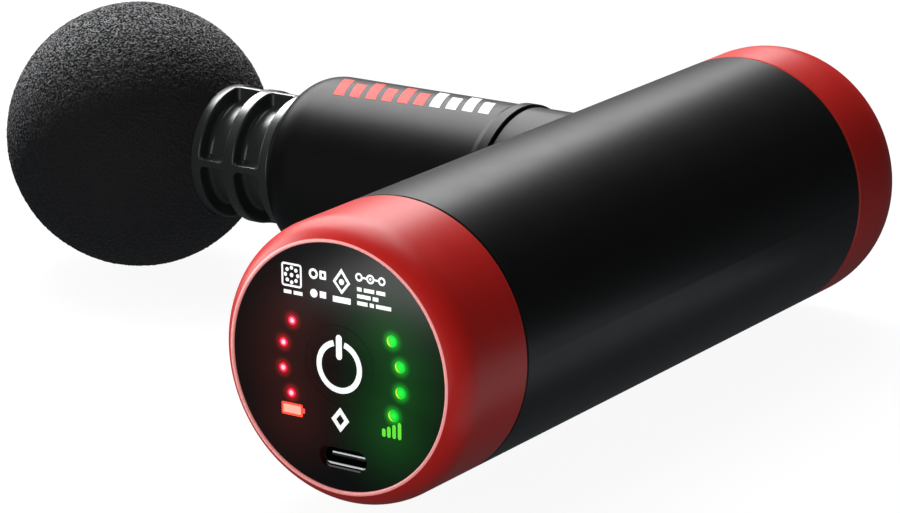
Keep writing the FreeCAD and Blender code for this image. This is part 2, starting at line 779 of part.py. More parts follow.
def big_end_bearing():
    """Rings and balls of the bearing on the crank pin."""
    y0 = HEAD_Y - 2.0
    y1 = HEAD_Y + 2.0
    middle_r = CRANK_PIN_R + BIG_END_RING / 2
    race_gap = 0.4
    groove = Part.makeTorus(middle_r, 0.85, V(CRANK_THROW, HEAD_Y, 0), Y)
    inner = ring_y(middle_r - race_gap, CRANK_PIN_R, y0, y1, CRANK_THROW).cut(groove)
    outer = ring_y(CRANK_PIN_R + BIG_END_RING, middle_r + race_gap, y0, y1, CRANK_THROW).cut(groove)
    ball = Part.makeSphere(0.84, V(CRANK_THROW + middle_r, HEAD_Y, 0))
    return group([inner, outer] + spun(ball, 9, V(CRANK_THROW, 0, 0), Y))


def connecting_rod():
    """An I-section rod: an eye for the crank pin's bearing, and an eye for the wrist pin's bush."""
    y0 = HEAD_Y - ROD_T / 2
    y1 = HEAD_Y + ROD_T / 2
    eye_r = CRANK_PIN_R + BIG_END_RING
    bush_r = WRIST_PIN_R + BUSH_T
    big_eye = along_y(eye_r + 2.4, y0, y1, CRANK_THROW)
    small_eye = along_y(bush_r + 1.7, y0, y1, WRIST_X)
    shank = centred_block(ROD_LEN - 4, y0, y1, 6.4, (WRIST_X + CRANK_THROW) / 2)
    rod = big_eye.fuse([small_eye, shank]).removeSplitter()
    recess = 1.1
    for face_y in (y0 - 1, y1 - recess):
        rod = rod.cut(centred_block(12.0, face_y, face_y + 1 + recess, 3.0, WRIST_X / 2 - 0.2))
    rod = rod.cut(along_y(eye_r, y0 - 1, y1 + 1, CRANK_THROW))
    return rod.cut(along_y(bush_r, y0 - 1, y1 + 1, WRIST_X))


def small_end_bush():
    half = ROD_T / 2
    return ring_y(WRIST_PIN_R + BUSH_T, WRIST_PIN_R + RUNNING_GAP, HEAD_Y - half, HEAD_Y + half, WRIST_X)


def wrist_pin():
    return along_y(WRIST_PIN_R, HEAD_Y - WRIST_PIN_HALF, HEAD_Y + WRIST_PIN_HALF, WRIST_X)


def piston():
    """The tube that slides in the head: a fork for the rod at the back, a socket for the stem in front."""
    body = turned_x([
        (PISTON_FRONT_X, SOCKET_R + 0.4),
        (PISTON_FRONT_X + 0.4, SOCKET_R),
        (PISTON_FRONT_X + SOCKET_DEPTH, SOCKET_R),
        (PISTON_FRONT_X + SOCKET_DEPTH, 0),
        (PISTON_REAR_X, 0),
        (PISTON_REAR_X, PISTON_R - 1.0),
        (PISTON_REAR_X - 1.0, PISTON_R),
        (PISTON_FRONT_X + 0.5, PISTON_R),
        (PISTON_FRONT_X, PISTON_R - 0.5),
    ])
    half = FORK_GAP / 2
    over = PISTON_R + 1
    fork = block(WRIST_X - 7, PISTON_REAR_X + 1, HEAD_Y - half, HEAD_Y + half, -over, over)
    bore_half = WRIST_PIN_HALF + 0.1
    return body.cut([fork, along_y(WRIST_PIN_R, HEAD_Y - bore_half, HEAD_Y + bore_half, WRIST_X)])


# ---------------------------------------------------------------- head

def head_housing():
    """The outer tube of the head, rounded over into its mouth, with a slightly larger collar at the back."""
    round_x = HEAD_FRONT_X + HEAD_EDGE_R
    round_r = HEAD_R - HEAD_EDGE_R
    start = math.degrees(math.asin((MOUTH_R + 0.25 - round_r) / HEAD_EDGE_R))
    lip, middle, full = [polar(HEAD_EDGE_R, a) for a in (start, (start + 90) / 2, 90)]
    front, round_middle, round_end = [on_head(round_x - x, round_r + r) for x, r in (lip, middle, full)]
    collar_x = HEAD_REAR_X - COLLAR_LEN
    collar_edge = 0.2
    wiper_x = SLEEVE_FRONT_X - WIPER_LEN
    edges = [Part.Arc(front, round_middle, round_end).toShape()]
    edges += path([
        round_end,
        on_head(collar_x - 1.2, HEAD_R),
        on_head(collar_x - 0.15, COLLAR_R - collar_edge),
        on_head(collar_x, COLLAR_R),
        on_head(HEAD_REAR_X - collar_edge, COLLAR_R),
        on_head(HEAD_REAR_X, COLLAR_R - collar_edge),
        on_head(HEAD_REAR_X, SLEEVE_R),
        on_head(SLEEVE_FRONT_X, SLEEVE_R),
        on_head(SLEEVE_FRONT_X, WIPER_R),
        on_head(wiper_x, WIPER_R),
        on_head(wiper_x, MOUTH_R),
        on_head(front.x + 0.3, MOUTH_R),
        front,
    ])
    housing = turned(edges, HEAD_CENTRE, X)
    threads = [along_x(HEAD_SCREW_R, HEAD_REAR_X - 6, HEAD_REAR_X + 1, y, z) for y, z in head_screw_places()]
    return housing.cut(threads)


def joint_gasket():
    """The dark ring in the joint between the head and the handle's boss."""
    ring = ring_x(HEAD_R - 0.45, BOSS_BORE_R + 0.2, HEAD_REAR_X, BOSS_FACE_X)
    hole_r = HEAD_SCREW_R + SCREW_CLEARANCE
    return ring.cut([along_x(hole_r, HEAD_REAR_X - 1, BOSS_FACE_X + 1, y, z) for y, z in head_screw_places()])


def head_screws():
    cap_len = 1.1
    socket_x = HEAD_SCREW_SEAT_X + 0.5
    screws = []
    for y, z in head_screw_places():
        shank = along_x(HEAD_SCREW_R, HEAD_REAR_X - 5, HEAD_SCREW_SEAT_X, y, z)
        cap = along_x(HEAD_SCREW_CAP_R, HEAD_SCREW_SEAT_X, HEAD_SCREW_SEAT_X + cap_len, y, z)
        screws.append(shank.fuse(cap).cut(along_x(0.6, socket_x, socket_x + cap_len, y, z)))
    return group(screws)


def guide_sleeve():
    """The bush in the head that the piston slides in."""
    return ring_x(SLEEVE_R, PISTON_R + RUNNING_GAP, SLEEVE_FRONT_X, SLEEVE_REAR_X)


def wiper_ring():
    return ring_x(WIPER_R, PISTON_R + 0.3, SLEEVE_FRONT_X - WIPER_LEN, SLEEVE_FRONT_X)


# ---------------------------------------------------------------- attachment

def neck_profile():
    """Outline of the solid core of the neck, its stem and its anchor inside the ball, as (x, radius)."""
    groove_end_x = GROOVE_X - GROOVE_W
    throat_x = PISTON_FRONT_X - 0.35
    ring_x1 = RING_EDGES[-1][1]
    return [
        (STEM_END_X, 0),
        (STEM_END_X, STEM_R - 1.0),
        (STEM_END_X - 1.0, STEM_R),
        (GROOVE_X, STEM_R),
        (GROOVE_X, STEM_R - GROOVE_DEPTH),
        (groove_end_x, STEM_R - GROOVE_DEPTH),
        (groove_end_x, STEM_R),
        (throat_x, STEM_R),
        (throat_x, NECK_THROAT_R - 0.4),
        (throat_x - 0.4, NECK_THROAT_R),
        (ring_x1, NECK_THROAT_R),
        (ring_x1, NECK_CORE_R),
        (ANCHOR_X1, NECK_CORE_R),
        (ANCHOR_X1, ANCHOR_R),
        (ANCHOR_X0, ANCHOR_R),
        (ANCHOR_X0, NECK_CORE_R),
        (BALL_X, NECK_CORE_R),
        (BALL_X, 0),
    ]


def radius_on_head(vertex):
    return math.hypot(vertex.Y - HEAD_Y, vertex.Z)


def neck_ribs(x0, x1):
    """Four flat ribs along the neck that join its rings."""
    reach = NECK_R + POCKET_OVER + 1
    upright = block(x0, x1, HEAD_Y - RIB_T / 2, HEAD_Y + RIB_T / 2, -reach, reach)
    across = block(x0, x1, HEAD_Y - reach, HEAD_Y + reach, -RIB_T / 2, RIB_T / 2)
    return upright.fuse(across)


def neck_pockets():
    """The recesses between the rings and the ribs, with rounded corners and floors."""
    pockets = []
    for (_, x0), (x1, _) in zip(RING_EDGES, RING_EDGES[1:]):
        belt = ring_x(NECK_R + POCKET_OVER, NECK_WAIST_R, x0, x1).cut(neck_ribs(x0 - 1, x1 + 1))
        for pocket in belt.Solids:
            inner = [e for e in pocket.Edges if min(radius_on_head(v) for v in e.Vertexes) < NECK_R]
            pockets.append(pocket.makeFillet(POCKET_ROUND, inner))
    return pockets


def neck_barrel():
    """The ribbed sleeve of the neck: every rim of its rings and pockets is rounded."""
    barrel = along_x(NECK_R, RING_EDGES[0][0], RING_EDGES[-1][1]).cut(neck_pockets())
    rims = []
    for edge in barrel.Edges:
        at_surface = all(abs(radius_on_head(vertex) - NECK_R) < 0.01 for vertex in edge.Vertexes)
        if at_surface and len(barrel.ancestorsOfType(edge, Part.Face)) == 2:
            rims.append(edge)
    barrel = barrel.makeFillet(NECK_RIM_ROUND, rims)
    barrel.rotate(HEAD_CENTRE, X, RIB_TURN)
    return barrel


def attachment_neck():
    return turned_x(neck_profile()).fuse(neck_barrel()).removeSplitter()


def foam_ball():
    """The solid foam ball, moulded over the neck's anchor."""
    ball = Part.makeSphere(BALL_R, V(BALL_X, HEAD_Y, 0))
    ring_x0 = RING_EDGES[0][0]
    outside_x = BALL_X + BALL_R + 1
    cavity = turned_x([
        (BALL_X, 0),
        (BALL_X, NECK_CORE_R),
        (ANCHOR_X0, NECK_CORE_R),
        (ANCHOR_X0, ANCHOR_R),
        (ANCHOR_X1, ANCHOR_R),
        (ANCHOR_X1, NECK_CORE_R),
        (ring_x0, NECK_CORE_R),
        (ring_x0, NECK_R),
        (outside_x, NECK_R),
        (outside_x, 0),
    ])
    return ball.cut(cavity)


def stem_o_ring():
    section_r = 0.74
    groove_middle = GROOVE_X - GROOVE_W / 2
    return Part.makeTorus(STEM_R - section_r + 0.02, section_r, V(groove_middle, HEAD_Y, 0), X)


# ---------------------------------------------------------------- all pieces

PIECES = {
    "handle_barrel": handle_barrel,
    "front_cap": front_cap,
    "rear_cap": rear_cap,
    "control_panel": control_panel,
    "panel_gasket": panel_gasket,
    "battery_light_pipes": lambda: light_pipes(battery_light_places(), BATTERY_LIGHT_R),
    "speed_light_pipes": lambda: light_pipes(speed_light_places(), SPEED_LIGHT_R),
    "battery_light_chips": lambda: light_chips(battery_light_places()),
    "speed_light_chips": lambda: light_chips(speed_light_places()),
    "power_button": power_button,
    "switch_stem": switch_stem,
    "switch_body": switch_body,
    "usb_c_shell": usb_c_shell,
    "usb_c_tongue": usb_c_tongue,
    "main_pcb": main_pcb,
    "pcb_screws": pcb_screws,
    "control_chips": control_chips,
    "driver_transistors": driver_transistors,
    "filter_capacitors": filter_capacitors,
    "motor_connector": motor_connector,
    "motor_leads": motor_leads,
    "battery_leads": battery_leads,
    "battery_cells": battery_cells,
    "cell_insulators": cell_insulators,
    "nickel_strips": nickel_strips,
    "battery_tray": battery_tray,
    "battery_pads": battery_pads,
    "motor_bracket": motor_bracket,
    "bracket_screws": bracket_screws,
    "bearing_outer_rings": bearing_outer_rings,
    "bearing_inner_rings": bearing_inner_rings,
    "bearing_balls": bearing_balls,
    "stator_core": stator_core,
    "stator_windings": stator_windings,
    "rotor_bell": rotor_bell,
    "rotor_magnets": rotor_magnets,
    "motor_shaft": motor_shaft,
    "crank_wheel": crank_wheel,
    "wheel_set_screw": wheel_set_screw,
    "crank_pin": crank_pin,
    "crank_pin_clip": crank_pin_clip,
    "big_end_bearing": big_end_bearing,
    "connecting_rod": connecting_rod,
    "small_end_bush": small_end_bush,
    "wrist_pin": wrist_pin,
    "piston": piston,
    "head_housing": head_housing,
    "joint_gasket": joint_gasket,
    "head_screws": head_screws,
    "guide_sleeve": guide_sleeve,
    "wiper_ring": wiper_ring,
    "attachment_neck": attachment_neck,
    "foam_ball": foam_ball,
    "stem_o_ring": stem_o_ring,
}

os.makedirs("parts", exist_ok=True)
for name, make in PIECES.items():
    shape = make()
    write(name, shape)
    print(name, "valid", shape.isValid(), "solids", len(shape.Solids), "cm3", round(shape.Volume / 1000, 3))
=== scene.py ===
import json
import math

import bpy
import numpy as np
from mathutils import Matrix, Vector, noise


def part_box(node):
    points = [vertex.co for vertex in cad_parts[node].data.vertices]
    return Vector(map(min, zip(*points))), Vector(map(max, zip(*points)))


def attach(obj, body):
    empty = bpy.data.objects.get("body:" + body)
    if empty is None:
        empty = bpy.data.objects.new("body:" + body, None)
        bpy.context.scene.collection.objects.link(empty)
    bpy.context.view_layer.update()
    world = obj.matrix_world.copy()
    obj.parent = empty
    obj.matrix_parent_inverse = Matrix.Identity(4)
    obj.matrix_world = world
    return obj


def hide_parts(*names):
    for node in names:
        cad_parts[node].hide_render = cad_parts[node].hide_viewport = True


# Looks for a cordless massage gun. Lengths are in metres, in the part's own frame: the handle's axis is Y
# with its control panel facing -Y, and the head's axis is X with the foam ball towards -X.

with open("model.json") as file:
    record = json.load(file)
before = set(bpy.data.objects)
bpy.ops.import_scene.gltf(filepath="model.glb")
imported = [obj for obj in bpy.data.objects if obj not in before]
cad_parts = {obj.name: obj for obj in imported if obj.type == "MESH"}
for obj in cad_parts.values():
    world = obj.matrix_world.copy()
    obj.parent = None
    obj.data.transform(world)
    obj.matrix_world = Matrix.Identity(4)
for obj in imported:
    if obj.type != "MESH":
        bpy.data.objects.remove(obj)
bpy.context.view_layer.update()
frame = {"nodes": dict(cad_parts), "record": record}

MM = 0.001
NODES = frame["nodes"]


# ---------------------------------------------------------------- places read from the frame

SAME_PLACE = 0.4 * MM
FRONT_SHARE = 0.66


def centre(node):
    a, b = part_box(node)
    return (a + b) / 2


def islands(node):
    """The middle of each separate solid of a node."""
    mesh = NODES[node].data
    parent = list(range(len(mesh.vertices)))

    def root(i):
        while parent[i] != i:
            parent[i] = parent[parent[i]]
            i = parent[i]
        return i

    for edge in mesh.edges:
        a, b = root(edge.vertices[0]), root(edge.vertices[1])
        parent[a] = b
    groups = {}
    for i, vertex in enumerate(mesh.vertices):
        groups.setdefault(root(i), []).append(vertex.co)
    return merged([(np.min(g, 0) + np.max(g, 0)) / 2 for g in groups.values()])


def merged(points):
    """The points, with those that lie behind one another along Y counted once."""
    kept = []
    for p in points:
        if all(np.linalg.norm((p - q)[[0, 2]]) > SAME_PLACE for q in kept):
            kept.append(p)
    return [Vector(p) for p in kept]


def tube_radius(node):
    """The outer radius of a node that is turned about X, over its front share."""
    a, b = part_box(node)
    middle = (a + b) / 2
    front = [v.co for v in NODES[node].data.vertices if v.co.x < a.x + (b.x - a.x) * FRONT_SHARE]
    return max(math.hypot(p.y - middle.y, p.z - middle.z) for p in front)


def direction(azimuth, height):
    """The unit direction at an azimuth turned from +X towards +Y, and a height, in degrees."""
    a, h = math.radians(azimuth), math.radians(height)
    return Vector((math.cos(a) * math.cos(h), math.sin(a) * math.cos(h), math.sin(h)))


PANEL_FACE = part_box("control_panel")[0].y
PANEL_R = (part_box("control_panel")[1].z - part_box("control_panel")[0].z) / 2
HANDLE = centre("handle_barrel")
HANDLE.x = centre("front_cap").x
HANDLE.z = centre("front_cap").z
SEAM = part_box("handle_barrel")[1].y - HANDLE.y
HEAD = centre("head_housing")
HEAD_R = tube_radius("head_housing")
BUTTON = centre("power_button")
BALL = centre("foam_ball")
BALL.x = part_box("foam_ball")[0].x + (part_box("foam_ball")[1].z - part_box("foam_ball")[0].z) / 2
BALL_R = (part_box("foam_ball")[1].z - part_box("foam_ball")[0].z) / 2
USB = centre("usb_c_shell")
USB_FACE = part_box("usb_c_shell")[0].y
RED_LIGHTS = islands("battery_light_pipes")
GREEN_LIGHTS = islands("speed_light_pipes")
RED_ICON = Vector((HANDLE.x - 9.2 * MM, PANEL_FACE, HANDLE.z - 8.6 * MM))
GREEN_ICON = Vector((HANDLE.x + 10.4 * MM, PANEL_FACE, HANDLE.z - 8.6 * MM))
RIM_WAY = direction(142, 45)      # from the foam ball to the light behind it


# ---------------------------------------------------------------- node materials

class Graph:
    """A material's node tree, with short names for the few kinds of node that the finishes use."""

    def __init__(self, name):
        self.material = bpy.data.materials.new(name)
        self.material.use_nodes = True
        self.tree = self.material.node_tree
        self.shader = self.tree.nodes["Principled BSDF"]
        self.place = self.add("ShaderNodeTexCoord").outputs["Object"]

    def add(self, kind, **settings):
        node = self.tree.nodes.new(kind)
        for key, value in settings.items():
            setattr(node, key, value)
        return node

    def feed(self, socket, value):
        if isinstance(value, bpy.types.NodeSocket):
            self.tree.links.new(value, socket)
        else:
            socket.default_value = value

    def math(self, operation, a, b=0.0):
        node = self.add("ShaderNodeMath", operation=operation)
        self.feed(node.inputs[0], a)
        self.feed(node.inputs[1], b)
        return node.outputs[0]

    def vector(self, operation, a, b, output="Vector"):
        node = self.add("ShaderNodeVectorMath", operation=operation)
        self.feed(node.inputs[0], a)
        self.feed(node.inputs[1], b)
        return node.outputs[output]

    def noise(self, size, detail=3.0, roughness=0.55, stretch=(1, 1, 1)):
        """Noise from 0 to 1 whose features are about size across."""
        mapping = self.add("ShaderNodeMapping")
        self.feed(mapping.inputs["Vector"], self.place)
        mapping.inputs["Scale"].default_value = stretch
        node = self.add("ShaderNodeTexNoise")
        self.feed(node.inputs["Vector"], mapping.outputs[0])
        node.inputs["Scale"].default_value = 1 / size
        node.inputs["Detail"].default_value = detail
        node.inputs["Roughness"].default_value = roughness
        return node.outputs["Fac"]

    def toward(self, point, way):
        """How far each place lies from a point, in one direction."""
        return self.vector("DOT_PRODUCT", self.vector("SUBTRACT", self.place, point), way, "Value")

    def axis(self, letter):
        """The coordinate along one axis."""
        node = self.add("ShaderNodeSeparateXYZ")
        self.feed(node.inputs[0], self.place)
        return node.outputs[letter]

    def from_axis(self):
        """Distance from the handle's axis."""
        flat = self.vector("MULTIPLY", self.place, (1, 0, 1))
        return self.vector("DISTANCE", flat, (HANDLE.x, 0, HANDLE.z), "Value")

    def nearest(self, points):
        """Distance to the nearest of the points."""
        closest = None
        for p in points:
            distance = self.vector("DISTANCE", self.place, p, "Value")
            closest = distance if closest is None else self.math("MINIMUM", closest, distance)
        return closest

    def spread(self, value, a, b, start=0.0, end=1.0):
        """The value, carried from the range start to end onto the range a to b."""
        node = self.add("ShaderNodeMapRange")
        for socket, number in zip(node.inputs[:5], (value, start, end, a, b)):
            self.feed(socket, number)
        return node.outputs[0]

    def rise(self, value, start, end):
        """0 up to the start, and 1 from the end on."""
        return self.spread(value, 0.0, 1.0, start, end)

    def fall(self, value, start, end):
        """1 up to the start, and 0 from the end on."""
        return self.spread(value, 1.0, 0.0, start, end)

    def mix(self, factor, a, b, **settings):
        node = self.add("ShaderNodeMix", data_type="RGBA", **settings)
        self.feed(node.inputs[0], factor)
        self.feed(node.inputs[6], a)
        self.feed(node.inputs[7], b)
        return node.outputs[2]

    def bump(self, height, depth):
        node = self.add("ShaderNodeBump")
        node.inputs["Distance"].default_value = depth
        self.feed(node.inputs["Height"], height)
        self.feed(self.shader.inputs["Normal"], node.outputs[0])

    def set(self, **values):
        for key, value in values.items():
            self.feed(self.shader.inputs[key.replace("_", " ")], value)


DRIFT_GRAINS = 12                 # a drift patch is this many grains across
ROUGH_DRIFT = 0.12                # share of the roughness
LIP_HIGHLIGHT_BACK = 0.2 * MM               # behind the panel's face, where the painted highlight on the lip starts to fade
LIP_HIGHLIGHT_WIDE = 0.58 * MM              # outside the panel's edge, how far the painted highlight on the lip reaches
SEAM_HIGHLIGHT_WIDTH = 0.34 * MM             # width of the painted highlight along the edge at each seam
GLOW_NEAR = 1.2 * MM              # how far the strong and the weak painted glow round the lights reach
GLOW_FAR = 14 * MM
RED_R = 0.78 * MM                 # radii of the lights
GREEN_R = 0.97 * MM
CELL = 0.42 * MM                  # the foam's cells
SHEET = 1.6 * MM                  # the wave of the stator's sheets
BLACK = (0, 0, 0, 1)
# colour of the painted highlights on the charging inlet's steel
PAINTED_HIGHLIGHT_STEEL = (0.86, 0.88, 0.90, 1)
PINK = (1.0, 0.55, 0.66, 1)
CRIMSON = (1.0, 0.01, 0.06, 1)
LIME = (0.01, 0.72, 0.06, 1)
GREEN = (0.0, 0.50, 0.02, 1)
YELLOW = (0.62, 0.66, 0.01, 1)


def rgba(colour, factor=1.0):
    return tuple(min(1.0, c * factor) for c in colour) + (1.0,)


def finish(name, colour, rough, metal=0.0, spec=0.5, grain=0.5 * MM, depth=0.004 * MM, vary=0.12,
           stretch=(1, 1, 1)):
    """A plain finish: its colour and its roughness drift a little, and a fine grain lifts its surface."""
    g = Graph(name)
    drift = g.noise(grain * DRIFT_GRAINS, 4.0)
    fine = g.noise(grain, 2.0, stretch=stretch)
    g.set(Base_Color=g.mix(drift, rgba(colour, 1 - vary), rgba(colour, 1 + vary)))
    g.set(Roughness=g.spread(drift, rough * (1 - ROUGH_DRIFT), rough * (1 + ROUGH_DRIFT)))
    g.set(Metallic=metal, Specular_IOR_Level=spec)
    g.bump(fine, depth)
    return g.material


def cap_finish():
    """Satin red, with a pale pink painted highlight that also glows by emission on the narrow rim round the
    panel, and a painted highlight of stronger red along the edge at each seam.
    """
    g = Graph("cap_red")
    drift = g.noise(6 * MM, 4.0)
    plain = g.mix(drift, (0.74, 0.016, 0.012, 1), (0.82, 0.020, 0.015, 1))
    # painted highlight: the rim round the panel is made pale pink
    near_face = g.fall(g.axis("Y"), PANEL_FACE + LIP_HIGHLIGHT_BACK, PANEL_FACE + 2 * LIP_HIGHLIGHT_BACK)
    near_panel = g.fall(g.from_axis(), PANEL_R + LIP_HIGHLIGHT_WIDE, PANEL_R + LIP_HIGHLIGHT_WIDE + 0.1 * MM)
    lip_highlight = g.math("MULTIPLY", near_face, near_panel)
    # painted highlight: a strip of stronger red along the edge at each seam
    from_middle = g.math("ABSOLUTE", g.math("SUBTRACT", g.axis("Y"), HANDLE.y))
    edge = g.fall(from_middle, SEAM + SEAM_HIGHLIGHT_WIDTH, SEAM + SEAM_HIGHLIGHT_WIDTH + 0.08 * MM)
    red = g.mix(edge, plain, (1.0, 0.05, 0.03, 1))
    g.set(Base_Color=g.mix(lip_highlight, red, (1.0, 0.50, 0.48, 1)), Specular_IOR_Level=0.5)
    g.set(Roughness=g.spread(drift, 0.34, 0.42))
    # the painted highlight round the panel also glows by emission
    g.set(Emission_Color=(1.0, 0.26, 0.25, 1), Emission_Strength=g.math("MULTIPLY", lip_highlight, 0.38))
    g.bump(g.noise(0.5 * MM, 2.0), 0.003 * MM)
    return g.material


def panel_finish():
    """Gloss black, with a painted glow of the lights on it: emission round each light and icon."""
    g = Graph("panel_gloss")
    drift = g.noise(6 * MM)
    g.set(Base_Color=g.mix(drift, (0.003, 0.003, 0.0035, 1), (0.005, 0.005, 0.0055, 1)))
    g.set(Roughness=g.spread(drift, 0.12, 0.17), Specular_IOR_Level=0.4)
    # painted glow: emission on the panel round the red and the green lights
    red = glow(g, RED_LIGHTS, RED_ICON, 0.8 * MM, (0.34, 0.004, 0.008), (0.036, 0.006, 0.004))
    green = glow(g, GREEN_LIGHTS, GREEN_ICON, 1.0 * MM, (0.003, 0.30, 0.012), (0.004, 0.062, 0.007))
    g.set(Emission_Color=g.mix(1.0, red, green, blend_type="ADD"), Emission_Strength=1.0)
    return g.material


def on_face(points):
    return [Vector((p.x, PANEL_FACE, p.z)) for p in points]


def glow(g, lights, icon, edge, near, far):
    """Painted glow round a row of lights, as emission on the panel: strong beside each one, and weak a long
    way round.
    """
    points = on_face(lights)
    close = g.math("POWER", g.fall(g.nearest(points), edge, edge + GLOW_NEAR), 2.0)
    wide = g.math("POWER", g.fall(g.nearest(points + [icon]), 0.0, GLOW_FAR), 1.8)
    return g.mix(1.0, g.mix(close, BLACK, rgba(near)), g.mix(wide, BLACK, rgba(far)), blend_type="ADD")


def light_finish(name, lights, radius, core, rim, side):
    """A lit lens: a pale middle, a strong rim, and a little of another colour on its left."""
    g = Graph(name)
    points = on_face(lights)
    shade = g.rise(g.nearest(points), radius * 0.3, radius * 0.72)
    right = g.nearest([p + Vector((0.55 * radius, 0, 0.2 * radius)) for p in points])
    left = g.rise(right, radius * 1.15, radius * 1.5)
    speck = g.spread(g.noise(0.35 * MM, 1.0), 0.75, 1.15)
    colour = g.mix(left, g.mix(shade, core, rim), side)
    g.set(Base_Color=colour, Roughness=g.spread(speck, 0.2, 0.3))
    g.set(Emission_Color=colour, Emission_Strength=speck)
    return g.material


def print_finish(name, colour, shine=0.0):
    """Printed ink, a little uneven, which may glow by emission: backlighting where a lamp lies behind it, and
    painted glow where none does.
    """
    g = Graph(name)
    drift = g.noise(0.6 * MM, 2.0)
    ink = g.mix(drift, rgba(colour, 0.86), rgba(colour, 1.0))
    g.set(Base_Color=ink, Roughness=g.spread(drift, 0.4, 0.55), Specular_IOR_Level=0.3)
    g.set(Emission_Color=ink, Emission_Strength=shine)
    return g.material


def foam_finish():
    """Fine-celled foam, with painted light in its colour: on the side that faces the rim light the cells get
    a pale painted highlight against painted shade in their pits, and elsewhere it is a plain dark grey.
    """
    g = Graph("foam")
    speck = g.noise(CELL, 1.0, 0.5)
    patch = g.noise(9 * MM)
    plain = g.mix(patch, (0.085, 0.086, 0.090, 1), (0.115, 0.117, 0.122, 1))
    # painted shade in the pits, and a painted highlight on the cells round them, used on the side that faces
    # the rim light
    painted_pit_shade = g.mix(patch, (0.012, 0.012, 0.013, 1), (0.020, 0.020, 0.021, 1))
    painted_lit_speckle = g.mix(g.rise(speck, 0.48, 0.58), painted_pit_shade, (0.50, 0.505, 0.515, 1))
    # the side that faces the rim light, where the painted highlight and shade go
    lit = g.rise(g.toward(BALL, RIM_WAY), -0.25 * BALL_R, 0.50 * BALL_R)
    g.set(Base_Color=g.mix(lit, plain, painted_lit_speckle))
    g.set(Roughness=g.spread(speck, 1.0, 0.9), Specular_IOR_Level=0.15)
    g.set(Sheen_Weight=g.spread(speck, 0.0, 0.5, 0.4, 0.65), Sheen_Roughness=0.35)
    g.set(Sheen_Tint=(0.8, 0.82, 0.85, 1))
    g.bump(g.math("MULTIPLY", speck, g.spread(lit, 0.3, 1.0)), 1.6 * MM)
    return g.material


def shell_finish():
    """Dark plated steel, with a pale painted highlight that glows by emission along the lower half of its
    front rim.
    """
    g = Graph("shell_steel")
    drift = g.noise(1.5 * MM)
    # painted highlight: pale steel with emission along the lower front rim
    rim = g.fall(g.axis("Y"), USB_FACE + 0.08 * MM, USB_FACE + 0.16 * MM)
    lower = g.fall(g.axis("Z"), USB.z - 1.35 * MM, USB.z - 1.2 * MM)
    painted_highlight = g.math("MULTIPLY", rim, lower)
    dark = g.mix(drift, (0.030, 0.030, 0.032, 1), (0.045, 0.045, 0.048, 1))
    g.set(Base_Color=g.mix(painted_highlight, dark, PAINTED_HIGHLIGHT_STEEL), Roughness=g.spread(drift, 0.30, 0.38))
    g.set(Metallic=g.spread(painted_highlight, 0.9, 0.2), Specular_IOR_Level=0.5)
    g.set(Emission_Color=PAINTED_HIGHLIGHT_STEEL, Emission_Strength=g.math("MULTIPLY", painted_highlight, 0.35))
    return g.material


def board_finish():
    """Green mask over copper tracks."""
    g = Graph("board_green")
    tracks = g.rise(g.noise(1.4 * MM, 0.0), 0.49, 0.51)
    g.set(Base_Color=g.mix(tracks, (0.006, 0.09, 0.03, 1), (0.012, 0.16, 0.05, 1)))
    g.set(Roughness=g.spread(tracks, 0.35, 0.28), Specular_IOR_Level=0.5)
    g.bump(tracks, 0.02 * MM)
    return g.material


def stacked_finish():
    """Thin steel sheets, stacked along the handle's axis."""
    g = Graph("laminations")
    wave = g.add("ShaderNodeTexWave", bands_direction="Y")
    g.feed(wave.inputs["Vector"], g.place)
    wave.inputs["Scale"].default_value = 1 / SHEET
    drift = g.noise(3 * MM)
    g.set(Base_Color=g.mix(drift, (0.20, 0.21, 0.23, 1), (0.30, 0.31, 0.33, 1)), Metallic=0.9)
    g.set(Roughness=g.spread(drift, 0.4, 0.55))
    g.bump(wave.outputs["Fac"], 0.05 * MM)
    return g.material


def build_materials():
    return {
        "barrel_black": finish("barrel_black", (0.006, 0.006, 0.0062), 0.38, spec=0.32, depth=0.003 * MM),
        "cap_red": cap_finish(),
        "panel_gloss": panel_finish(),
        "neck_black": finish("neck_black", (0.034, 0.040, 0.038), 0.28, depth=0.002 * MM),
        "foam": foam_finish(),
        "rubber_black": finish("rubber_black", (0.012, 0.012, 0.012), 0.7, spec=0.3),
        "board_green": board_finish(),
        "chip_black": finish("chip_black", (0.014, 0.014, 0.015), 0.5, grain=0.2 * MM),
        "led_white": finish("led_white", (0.75, 0.75, 0.70), 0.4, grain=0.2 * MM),
        "natural_plastic": finish("natural_plastic", (0.72, 0.69, 0.60), 0.42),
        "grey_plastic": finish("grey_plastic", (0.13, 0.14, 0.15), 0.5),
        "steel": finish("steel", (0.60, 0.61, 0.63), 0.24, metal=1.0, stretch=(1, 6, 1), depth=0.002 * MM),
        "screw_steel": finish("screw_steel", (0.30, 0.30, 0.31), 0.32, metal=1.0),
        "alloy": finish("alloy", (0.66, 0.67, 0.69), 0.36, metal=1.0, stretch=(1, 5, 1)),
        "cell_wrap": finish("cell_wrap", (0.03, 0.14, 0.42), 0.3, grain=1.5 * MM, vary=0.08),
        "nickel": finish("nickel", (0.66, 0.64, 0.58), 0.28, metal=1.0, stretch=(5, 1, 1)),
        "paper": finish("paper", (0.72, 0.72, 0.66), 0.85, spec=0.2, depth=0.02 * MM),
        "copper": finish("copper", (0.64, 0.26, 0.10), 0.3, metal=1.0, stretch=(1, 9, 1), depth=0.03 * MM),
        "wire_jacket": finish("wire_jacket", (0.42, 0.02, 0.02), 0.5, grain=0.8 * MM),
        "laminations": stacked_finish(),
        "magnet": finish("magnet", (0.46, 0.46, 0.48), 0.34, metal=1.0),
        "shell_steel": shell_finish(),
    }


